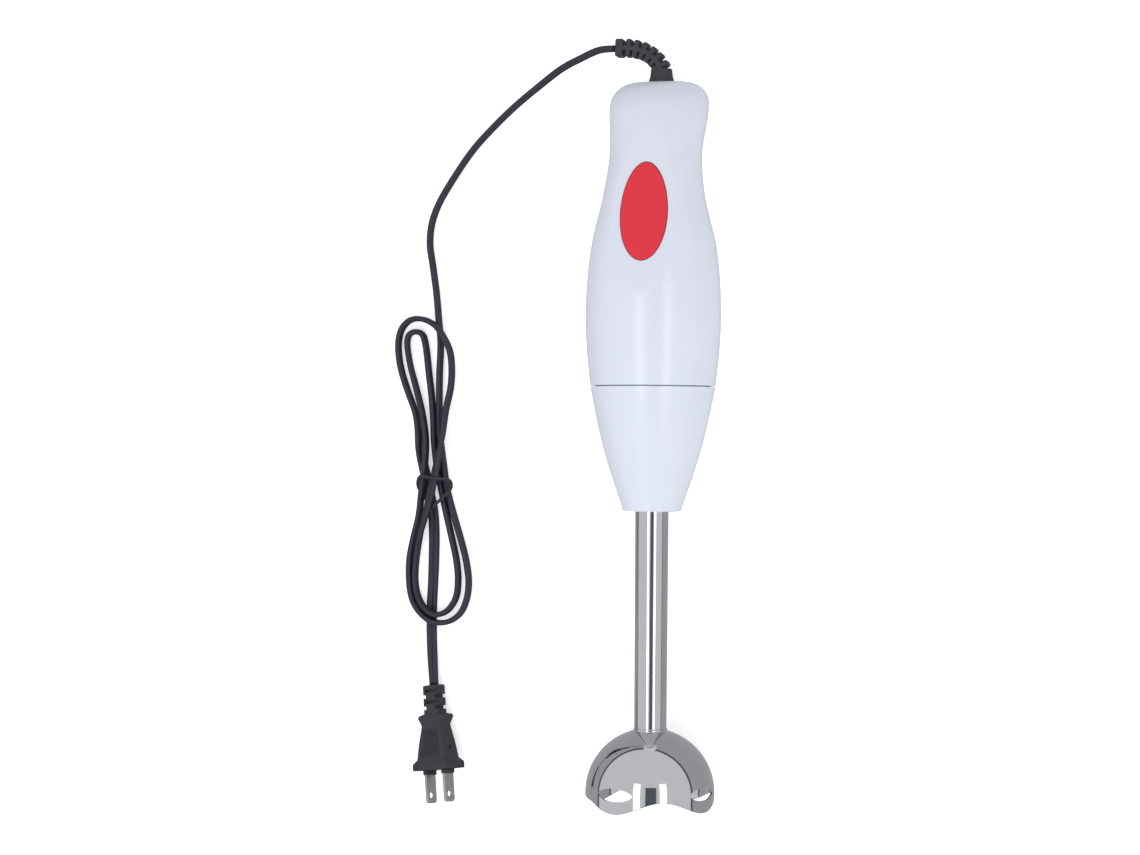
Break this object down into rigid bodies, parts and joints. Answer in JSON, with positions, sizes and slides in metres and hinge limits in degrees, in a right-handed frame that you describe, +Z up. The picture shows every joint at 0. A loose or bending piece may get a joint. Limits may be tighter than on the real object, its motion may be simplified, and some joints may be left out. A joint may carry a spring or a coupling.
{
  "type": "immersion blender",
  "caption": "Corded stick blender with a two-shell handle, oval thumb button, steel shaft and bell with a blade, lying beside its tied mains cord and plug.",
  "frame": {"origin": "on the table under the middle of the blender's length, below its long axis", "axes": "+Z up from the table, the blender's long axis along Y with the cord end at +Y and the blade end at -Y, the button facing +Z"},
  "size_m": [0.1696, 0.3766, 0.0648],
  "materials": {
    "white_plastic": "glossy moulded ABS, very slightly blue white",
    "red_plastic": "satin moulded red",
    "black_rubber": "soft matt PVC",
    "cord_sheath": "satin PVC sheath, near black",
    "polished_steel": "mirror polished stainless steel",
    "plated_blade": "nickel plated brass",
    "zinc_steel": "zinc plated steel",
    "lamination_iron": "varnished electrical steel laminations",
    "copper": null,
    "bronze": "sintered bronze",
    "carbon": "pressed carbon",
    "moulded_nylon": "unpainted nylon",
    "board_laminate": "green board laminate"
  },
  "bodies": {
    "root": {"bearing_bridge_lower": "moulded_nylon", "bearing_bridge_upper": "moulded_nylon", "bearing_lower": "bronze", "bearing_upper": "bronze", "blade_guard": "polished_steel", "brush_holder_left": "bronze", "brush_holder_right": "bronze", "brush_spring_left": "zinc_steel", "brush_spring_right": "zinc_steel", "bush_lower": "bronze", "bush_upper": "bronze", "button_spring": "zinc_steel", "capacitor": "moulded_nylon", "carbon_brush_left": "carbon", "carbon_brush_right": "carbon", "circuit_board": "board_laminate", "clamp_screw_left": "zinc_steel", "clamp_screw_right": "zinc_steel", "cord_clamp": "moulded_nylon", "cord_hank": "cord_sheath", "cord_lead": "cord_sheath", "cord_tail": "cord_sheath", "cord_tie": "cord_sheath", "field_coil_front": "copper", "field_coil_rear": "copper", "front_shell": "white_plastic", "inner_lead": "cord_sheath", "lower_screw_left": "zinc_steel", "lower_screw_right": "zinc_steel", "motor_bolt_left": "zinc_steel", "motor_bolt_right": "zinc_steel", "motor_cushion": "black_rubber", "nose_cone": "white_plastic", "plug_blade_left": "plated_blade", "plug_blade_right": "plated_blade", "plug_body": "black_rubber", "rear_shell": "white_plastic", "rectifier": "carbon", "shaft_seal": "black_rubber", "shaft_tube": "polished_steel", "stator_core": "lamination_iron", "strain_relief": "black_rubber", "switch_body": "moulded_nylon", "tube_collar": "bronze", "upper_screw_left": "zinc_steel", "upper_screw_right": "zinc_steel"},
    "button": {"power_button": "red_plastic"},
    "switch_actuator": {"switch_plunger": "red_plastic"},
    "rotor": {"armature_core": "lamination_iron", "winding_upper": "copper", "winding_lower": "copper", "commutator": "copper", "motor_shaft": "zinc_steel", "cooling_fan": "moulded_nylon", "motor_coupler": "moulded_nylon"},
    "blade_shaft": {"drive_shaft": "zinc_steel", "shaft_coupler": "moulded_nylon", "blade": "polished_steel", "blade_nut": "zinc_steel"}
  },
  "joints": [
    {"name": "button_press", "type": "slide", "parent": "root", "child": "button", "axis": [0, 0, -1], "range_m": [0, 0.003], "stiffness_N_per_m": 500, "springref_m": -0.002, "deforming": ["button_spring"]},
    {"name": "switch_press", "type": "slide", "parent": "root", "child": "switch_actuator", "axis": [0, 0, -1], "range_m": [0, 0.003]},
    {"name": "motor_spin", "type": "hinge", "parent": "root", "child": "rotor", "pos_m": [0, 0, 0.0324], "axis": [0, 1, 0], "continuous": true},
    {"name": "blade_spin", "type": "hinge", "parent": "root", "child": "blade_shaft", "pos_m": [0, 0, 0.0324], "axis": [0, 1, 0], "continuous": true}
  ],
  "couplings": [
    {"joint": "switch_press", "follows": "button_press", "ratio": 1},
    {"joint": "blade_spin", "follows": "motor_spin", "ratio": 1}
  ]
}
